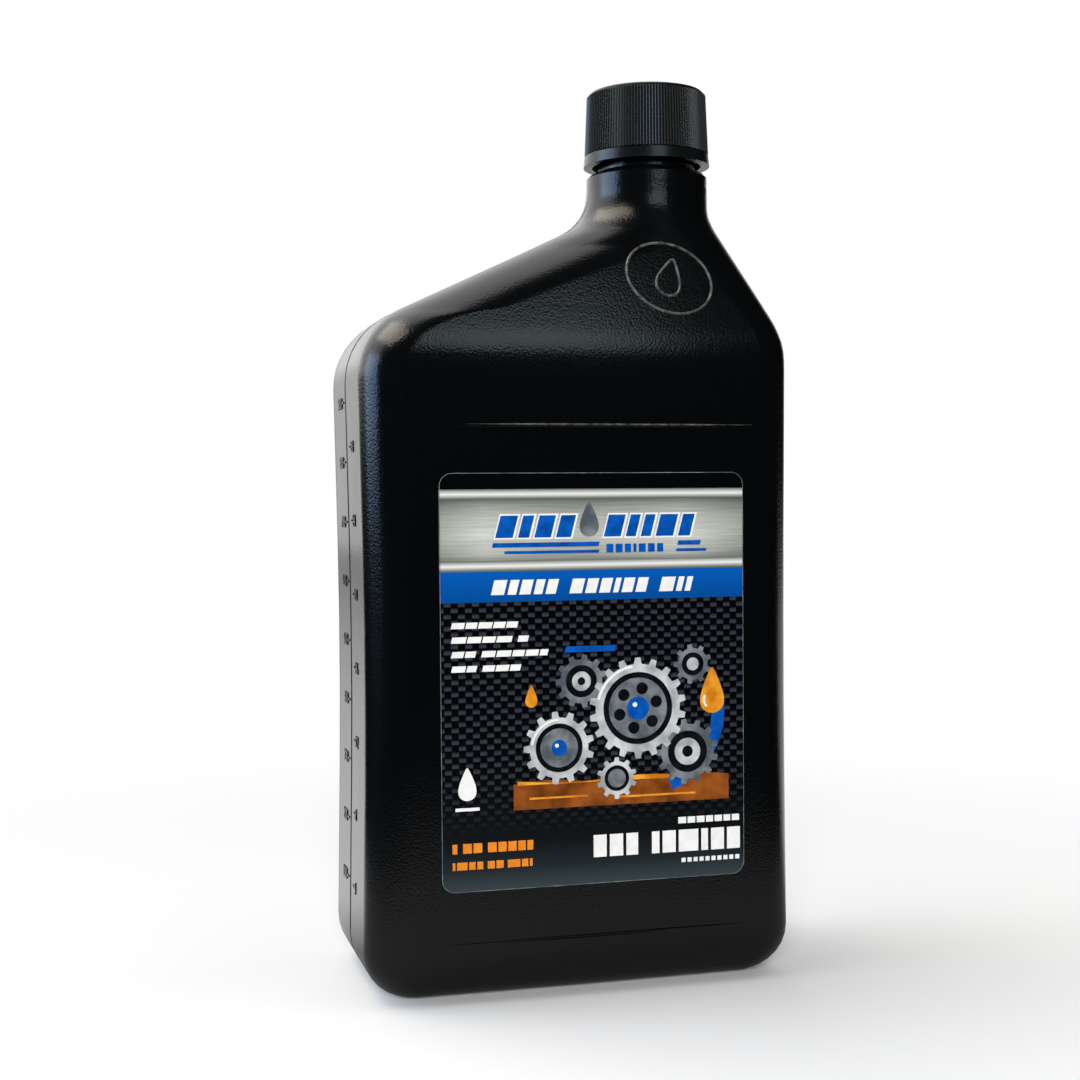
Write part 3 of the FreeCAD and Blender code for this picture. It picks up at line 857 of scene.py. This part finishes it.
plates = [
    ("pool", "brown", [wave(18, 74, 19.2, 25.5, 0.7, 1.5)]),
    ("pool_light", "amber", [wave(19, 61, 25.2, 25.9, 0.5, 1.1), bar(22, 21.6, 15, 0.5),
                             bar(44, 20.9, 21, 0.5)]),
    ("blue_guard", "blue", [sweep((17.0, 20.4), -1.25, 0.35, (52.5, 41.5)), bar(31, 57.4, 13, 1.5, 0.4)]),
    ("far_wheels", "steel", [gear(*RIGHT_WHEEL, 8.2, 13, 1.3), gear(*FAR_LEFT_WHEEL, 6.6, 11, 1.2),
                             gear(*FAR_RIGHT_WHEEL, 5.0, 9, 1.0)]),
    ("far_rings", "black", [disc(*RIGHT_WHEEL, 5.2), disc(*FAR_LEFT_WHEEL, 4.0),
                            disc(*FAR_RIGHT_WHEEL, 2.9)]),
    ("near_wheels", "pale", [gear(*BIG_WHEEL, 12.6, 18, 1.6), gear(*LEFT_WHEEL, 9.0, 13, 1.5),
                             disc(*RIGHT_WHEEL, 3.4), disc(*FAR_LEFT_WHEEL, 2.4),
                             gear(*LOW_WHEEL, 5.2, 10, 1.0), disc(*FAR_RIGHT_WHEEL, 1.6)]),
    ("near_rings", "black", [disc(*BIG_WHEEL, 9.0), disc(*LEFT_WHEEL, 6.0), disc(*LOW_WHEEL, 3.2),
                             disc(*RIGHT_WHEEL, 1.4), disc(*FAR_LEFT_WHEEL, 1.0)]),
    ("near_webs", "steel", [disc(*BIG_WHEEL, 7.6), disc(*LEFT_WHEEL, 4.8), disc(*LOW_WHEEL, 2.3)]),
    ("near_holes", "black", [disc(BIG_WHEEL[0] + HOLE_REACH_MM * math.cos(t),
                                  BIG_WHEEL[1] + HOLE_REACH_MM * math.sin(t), 1.5, 20) for t in HOLE_TURNS]),
    ("hubs", "blue", [disc(*BIG_WHEEL, 2.9), disc(*LEFT_WHEEL, 2.0)]),
    ("glints", "white", [sweep((10.2, 10.8), 1.7, 2.9, BIG_WHEEL), sweep((6.7, 7.2), 1.6, 3.0, LEFT_WHEEL),
                         disc(49.2, 43.9, 0.6, 16), disc(29.0, 34.6, 0.5, 16)]),
    ("falling_drop", "amber", [drop(*FALLING_DROP, 3.4, 8.2), drop(22.6, 45.8, 1.6, 3.9)]),
    ("drop_glint", "white", [sweep((1.9, 2.5), 2.6, 4.0, FALLING_DROP, 14)]),
]
print("plates of the picture:", len(plates))

# %% [markdown]
# Over the picture stand the lines of bars. Each number is the width of one bar, and a number below
# zero is a space as wide. The headline, the title and the notes lean like italic letters.

# %% Plates of the wording
INK_TILT = 0.26
HEADLINE_MM = (5.2, 3.6, 5.0, 4.6, -6.6, 5.2, 3.4, 3.4, 5.4, 3.9)
HEADLINE_RIM_MM = 0.8
TITLE_MM = (3.3, 2.2, 2.8, 2.2, 2.6, -1.9, 3.2, 2.8, 2.8, 1.4, 2.8, 2.7, -1.9, 3.6, 1.5, 1.5)
NOTES_MM = {63.9: (3.2, 2.8, 3.4, 2.9, 2.8), 60.4: (3.6, 3.4, 3.2, 3.8, -0.8, 2.6),
            56.9: (3.0, 2.6, -0.8, 3.4, 3.6, 3.0, 3.2, 2.0), 53.4: (3.4, 2.4, -0.8, 3.0, 3.2, 2.6)}
AMOUNT_MM = (1.2, -0.6, 2.2, 2.2, -0.6, 2.2, 2.1, 2.1, 1.9, 1.5)
AMOUNT_UNDER_MM = (0.7, 2.6, 1.6, 1.5, -0.3, 1.8, 1.8, -0.2, 3.2, 1.6, 0.7)
GRADE_MM = (3.4, 3.5, 3.1, -2.0, 2.0, 3.5, 5.2, 1.8, 3.5, 3.5)

headline_inner = [w - math.copysign(HEADLINE_RIM_MM, w) for w in HEADLINE_MM]
notes = []
for v, widths in NOTES_MM.items():
    notes += line_of_bars(2.6, v, widths, 1.5, 0.35, INK_TILT)
plates += [
    ("headline_edge", "white", line_of_bars(13.4, 85.3, HEADLINE_MM, 6.2, 0.5, INK_TILT)),
    ("headline", "blue", line_of_bars(13.8, 85.7, headline_inner, 5.4, 1.3, INK_TILT)),
    ("headline_rules", "blue", [bar(13.0, 83.4, 27.0, 1.1, INK_TILT), bar(16.0, 81.8, 24.0, 0.7, INK_TILT),
                                bar(60.5, 83.4, 6.0, 1.1, INK_TILT), bar(60.1, 81.8, 8.0, 0.7, INK_TILT)]
     + line_of_bars(42.0, 81.8, (1.8, 1.8, 1.6, 0.8, 1.8, 1.8, 1.6), 2.1, 0.6)),
    ("headline_drop", "steel", [drop(37.6, 88.4, 2.6, 6.0)]),
    ("title", "white", line_of_bars(12.6, 71.9, TITLE_MM, 3.6, 0.8, INK_TILT)),
    ("notes", "white", notes),
    ("small_drop", "white", [drop(6.4, 24.6, 2.4, 5.6), bar(3.4, 19.7, 6.0, 0.8)]),
    ("amount", "orange", line_of_bars(2.6, 9.4, AMOUNT_MM, 2.4, 0.4)
     + line_of_bars(2.6, 5.4, AMOUNT_UNDER_MM, 1.9, 0.4)),
    ("grade_small", "white", line_of_bars(60.4, 13.6, (2.1, 2.0, 2.1, 1.9, 2.0, 1.8, 2.0), 1.6, 0.4)),
    ("grade", "white", line_of_bars(38.2, 6.5, GRADE_MM, 5.5, 0.8)),
    ("batch", "white", line_of_bars(61.2, 3.8, (1.1,) * 10, 1.1, 0.5)),
]
print("plates with the wording:", len(plates))

# %% [markdown]
# The film's cut edge catches light all round, so one last plate is a hairline along it: four
# straight bars and four rounded corners.

# %% Film edge
FILM_CORNER_MM = 3.2
FILM_EDGE_MM = 0.15


def film_edge():
    wide = FILM_WIDE_MM - 2 * FILM_CORNER_MM
    tall = FILM_TALL_MM - 2 * FILM_CORNER_MM
    shapes = []
    for v in (0.0, FILM_TALL_MM - FILM_EDGE_MM):
        shapes.append(bar(FILM_CORNER_MM, v, wide, FILM_EDGE_MM))
    for u in (0.0, FILM_WIDE_MM - FILM_EDGE_MM):
        shapes.append(bar(u, FILM_CORNER_MM, FILM_EDGE_MM, tall))
    for corner in range(4):
        turn = corner * math.pi / 2
        centre = (FILM_WIDE_MM - FILM_CORNER_MM if corner in (0, 3) else FILM_CORNER_MM,
                  FILM_TALL_MM - FILM_CORNER_MM if corner in (0, 1) else FILM_CORNER_MM)
        radii = (FILM_CORNER_MM - FILM_EDGE_MM, FILM_CORNER_MM)
        shapes.append(sweep(radii, turn, turn + math.pi / 2, centre, 12))
    return shapes


plates.append(("film_edge", "steel", film_edge()))

# %% [markdown]
# Each sheet stands 0.012 mm in front of the one before it, so that none hides in another.

# %% Sheets
SHEET_GAP_MM = 0.012
for order, (name, ink, shapes) in enumerate(plates):
    points = []
    faces = []
    sheet_y = label_low[1] - (order + 1) * SHEET_GAP_MM * MM
    for shape in shapes:
        faces.append(tuple(range(len(points), len(points) + len(shape))))
        points.extend([(label_low[0] + u * MM, sheet_y, label_low[2] + v * MM) for u, v in shape])
    new_piece("print_" + name, points, faces, INKS[ink], "bottle", smooth=False)
print("plates:", len(plates))

# %% [markdown]
# ## Floor, room and lamps
#
# The photograph is a product shot on white: a white ground that runs out of sight, a soft shadow
# under the bottle, and a pale room that the smooth side mirrors. The floor is lit where the
# bottle stands and turns to plain white further out, so no horizon shows.
#
# To the camera the paper is pale all over. To the rays that the bottle mirrors it is dim round the
# foot and bright only behind, as if black cards lay on the near side. That is how a photographer
# keeps a black bottle black.

# %% The paper that the bottle mirrors
FLOOR_AROUND = 0.24
FLOOR_AROUND_FADE = (0.13, 0.28)
FLOOR_BEHIND = 0.85
FLOOR_BEHIND_FADE = (-0.02, 0.10)
FLOOR_LEFT_SLANT = 0.28
FLOOR_LEFT_FADE = (-0.13, -0.06)


def mirrored_paper(tree, place, reach):
    apart = add(tree, "ShaderNodeSeparateXYZ", {"Vector": place.outputs["Object"]})
    around = add(tree, "ShaderNodeMapRange",
                 {"Value": reach.outputs["Value"], "From Min": FLOOR_AROUND_FADE[0],
                  "From Max": FLOOR_AROUND_FADE[1], "To Min": FLOOR_AROUND, "To Max": 0.0},
                 interpolation_type="SMOOTHSTEP")
    behind = add(tree, "ShaderNodeMapRange",
                 {"Value": apart.outputs["Y"], "From Min": FLOOR_BEHIND_FADE[0],
                  "From Max": FLOOR_BEHIND_FADE[1], "To Max": FLOOR_BEHIND},
                 interpolation_type="SMOOTHSTEP")
    slant = add(tree, "ShaderNodeMath", {0: apart.outputs["Y"], 1: FLOOR_LEFT_SLANT, 2: apart.outputs["X"]},
                operation="MULTIPLY_ADD")
    bounded = add(tree, "ShaderNodeMapRange",
                  {"Value": slant.outputs[0], "From Min": FLOOR_LEFT_FADE[0], "From Max": FLOOR_LEFT_FADE[1]},
                  interpolation_type="SMOOTHSTEP")
    back = add(tree, "ShaderNodeMath", {0: behind.outputs[0], 1: bounded.outputs[0]}, operation="MULTIPLY")
    return add(tree, "ShaderNodeMath", {0: around.outputs[0], 1: back.outputs[0]}, operation="MAXIMUM")


# %% Paper
FLOOR_FADE = (0.08, 0.40)
FLOOR_SEEN = 0.80


def make_paper():
    material, tree = new_material("white_paper_sweep")
    place = add(tree, "ShaderNodeTexCoord")
    reach = add(tree, "ShaderNodeVectorMath", {0: place.outputs["Object"]}, operation="LENGTH")
    far = add(tree, "ShaderNodeMapRange", {"Value": reach.outputs["Value"], "From Min": FLOOR_FADE[0],
                                           "From Max": FLOOR_FADE[1]}, interpolation_type="SMOOTHSTEP")
    mirrored = mirrored_paper(tree, place, reach)
    ray = add(tree, "ShaderNodeLightPath")
    paper = add(tree, "ShaderNodeMix", {"Factor": ray.outputs["Is Camera Ray"], "A": mirrored.outputs[0],
                                        "B": FLOOR_SEEN}, data_type="FLOAT")
    lit = add(tree, "ShaderNodeBsdfDiffuse", {"Color": paper.outputs[0]})
    plain = add(tree, "ShaderNodeEmission", {"Color": (1, 1, 1, 1), "Strength": 1.0})
    seen = add(tree, "ShaderNodeMath", {0: ray.outputs["Is Camera Ray"], 1: far.outputs[0]},
               operation="MULTIPLY")
    mixed = add(tree, "ShaderNodeMixShader", {0: seen.outputs[0], 1: lit.outputs[0], 2: plain.outputs[0]})
    finish_material(tree, mixed)
    return material


# %% Floor
FLOOR_RADIUS = 3.0
FLOOR_STEPS = 96
floor_turns = [2 * math.pi * i / FLOOR_STEPS for i in range(FLOOR_STEPS)]
floor_rim = [(FLOOR_RADIUS * math.cos(t), FLOOR_RADIUS * math.sin(t), 0.0) for t in floor_turns]
floor_mesh = bpy.data.meshes.new("floor")
floor_mesh.from_pydata(floor_rim, [], [tuple(range(FLOOR_STEPS))])
floor_mesh.materials.append(make_paper())
floor = bpy.data.objects.new("floor", floor_mesh)
bpy.context.scene.collection.objects.link(floor)
print("floor radius in m:", FLOOR_RADIUS)

# %% [markdown]
# The room is drawn as a world whose brightness depends only on the direction: a white backdrop
# low behind the bottle, bright walls above the horizon to the left and behind, a bright patch of
# ceiling high behind, and hardly anything on the camera's side, as in a studio. The camera itself
# sees plain white.

# %% Room
ROOM_DIM = 0.006
BACKDROP = {"azimuth": 168, "elevation": 0, "full": 16, "none": 40, "level": 1.0}
WALLS = {"azimuth": -140, "elevation": 28, "full": 30, "none": 60, "level": 1.5}
CEILING = {"azimuth": 180, "elevation": 72, "full": 8, "none": 24, "level": 1.3}
HORIZON_FADE = (0.0, 0.16)


def toward(azimuth, elevation):
    turn = math.radians(azimuth)
    lift = math.radians(elevation)
    return Vector((math.sin(turn) * math.cos(lift), -math.cos(turn) * math.cos(lift), math.sin(lift)))


def make_room():
    world = bpy.data.worlds.new("studio")
    world.use_nodes = True
    tree = world.node_tree
    tree.nodes.clear()
    place = add(tree, "ShaderNodeTexCoord")
    apart = add(tree, "ShaderNodeSeparateXYZ", {"Vector": place.outputs["Generated"]})
    horizon = add(tree, "ShaderNodeMapRange",
                  {"Value": apart.outputs["Z"], "From Min": HORIZON_FADE[0], "From Max": HORIZON_FADE[1]},
                  interpolation_type="SMOOTHSTEP")
    levels = []
    for part in (BACKDROP, WALLS, CEILING):
        nearness = add(tree, "ShaderNodeVectorMath",
                       {0: place.outputs["Generated"], 1: toward(part["azimuth"], part["elevation"])},
                       operation="DOT_PRODUCT")
        none, full = [math.cos(math.radians(part[key])) for key in ("none", "full")]
        levels.append(add(tree, "ShaderNodeMapRange",
                          {"Value": nearness.outputs["Value"], "From Min": none, "From Max": full,
                           "To Max": part["level"]}, interpolation_type="SMOOTHSTEP"))
    walls = add(tree, "ShaderNodeMath", {0: levels[1].outputs[0], 1: horizon.outputs[0]},
                operation="MULTIPLY")
    low = add(tree, "ShaderNodeMath", {0: levels[0].outputs[0], 1: walls.outputs[0]}, operation="MAXIMUM")
    high = add(tree, "ShaderNodeMath", {0: levels[2].outputs[0], 1: ROOM_DIM}, operation="MAXIMUM")
    around = add(tree, "ShaderNodeMath", {0: low.outputs[0], 1: high.outputs[0]}, operation="MAXIMUM")
    ray = add(tree, "ShaderNodeLightPath")
    level = add(tree, "ShaderNodeMath", {0: around.outputs[0], 1: ray.outputs["Is Camera Ray"]},
                operation="MAXIMUM")
    room = add(tree, "ShaderNodeBackground", {"Color": (1, 1, 1, 1), "Strength": level.outputs[0]})
    add(tree, "ShaderNodeOutputWorld", {"Surface": room.outputs[0]})
    bpy.context.scene.world = world


make_room()

# %% [markdown]
# ## Lamps, placed by what the black plastic mirrors
#
# A black glossy bottle shows hardly anything but its lamps, so each lamp is placed by its
# highlight in the photograph: a long overhead strip to the left and behind, which gives the bright
# slope and the light on the ground, a cool window on the left for the front corner, a panel high
# in front for the bend above the label, and a small card for the neck. The print needs more light
# than these give, and so does the floor on the right. Two fill lamps give it, and they are kept
# out of reflections, as crossed polarisers do in a studio, so that the plastic stays black.
# Each lamp has a place, a width and height in metres, a brightness and a colour.

# %% Lamps
MIDDLE = Vector((0.0, 0.0, 0.11))


def add_lamp(name, place, size, radiance, colour="#ffffff", aim=MIDDLE, mirrored=True):
    data = bpy.data.lights.new(name, "AREA")
    data.shape = "RECTANGLE"
    data.size = size[0]
    data.size_y = size[1]
    data.energy = radiance * math.pi * size[0] * size[1]
    data.color = linear(colour)[:3]
    lamp = bpy.data.objects.new(name, data)
    lamp.location = place
    lamp.rotation_euler = (aim - lamp.location).to_track_quat("-Z", "Y").to_euler()
    lamp.visible_glossy = mirrored
    bpy.context.scene.collection.objects.link(lamp)
    print("%-16s %.2f W" % (name, data.energy))


OVERHEAD_PLACE = Vector((-0.70, 0.17, 1.35))
NECK_CARD_PLACE = Vector((0.040, -0.20, 0.285))
NECK_MIDDLE = Vector((CAP_AXIS_X, 0.0, 0.20))
add_lamp("overhead_strip", OVERHEAD_PLACE, (0.62, 1.47), 3.0, "#fff1dc", OVERHEAD_PLACE - Vector((0, 0, 1)))
add_lamp("left_window", MIDDLE + 1.10 * toward(-97, 16), (0.84, 0.58), 4.0, "#9cbee6")
add_lamp("front_panel", MIDDLE + 1.30 * toward(18, 37), (0.44, 0.11), 0.34, "#c4e0f0")
add_lamp("neck_card", NECK_CARD_PLACE, (0.09, 0.10), 1.7, "#cfe2e6", NECK_MIDDLE)
add_lamp("front_fill", MIDDLE + 1.40 * toward(-17, 14), (0.5, 0.5), 30.0, mirrored=False)
add_lamp("right_fill", MIDDLE + 1.50 * toward(75, 58), (1.0, 1.0), 1.6, mirrored=False)

# %% [markdown]
# ## Colour management
#
# The colours above were picked as a screen shows them, so the scene uses the standard view
# transform.

# %% Colour management
bpy.context.scene.view_settings.view_transform = "Standard"
